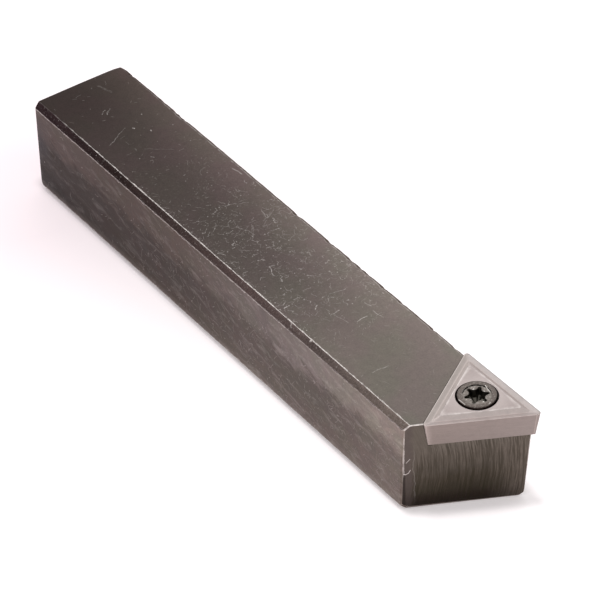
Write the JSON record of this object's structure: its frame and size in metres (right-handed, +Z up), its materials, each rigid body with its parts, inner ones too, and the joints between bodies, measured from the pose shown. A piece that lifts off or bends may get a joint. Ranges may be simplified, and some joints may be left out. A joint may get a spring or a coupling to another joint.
{
  "type": "indexable turning tool",
  "caption": "Square-shank right-hand turning tool with a three-cornered carbide insert, a skewed front face and a countersunk star-socket clamp screw.",
  "frame": {"origin": "on the base face of the shank, on the shank's middle line, half way along the overall length of 100 mm", "axes": "+X along the shank from the back end to the cutting nose, +Y towards the cutting side, +Z up from the base to the insert"},
  "size_m": [0.1, 0.0163, 0.0165],
  "materials": {
    "shank": "worn, scratched black oxide on steel, lighter where it is rubbed",
    "insert": "satin sintered carbide, warm grey, ground flanks",
    "insert_screw": "dark grey treated steel, slightly polished on the head"
  },
  "bodies": {
    "root": {"shank": "shank", "insert": "insert", "insert_screw": "insert_screw"}
  },
  "joints": []
}
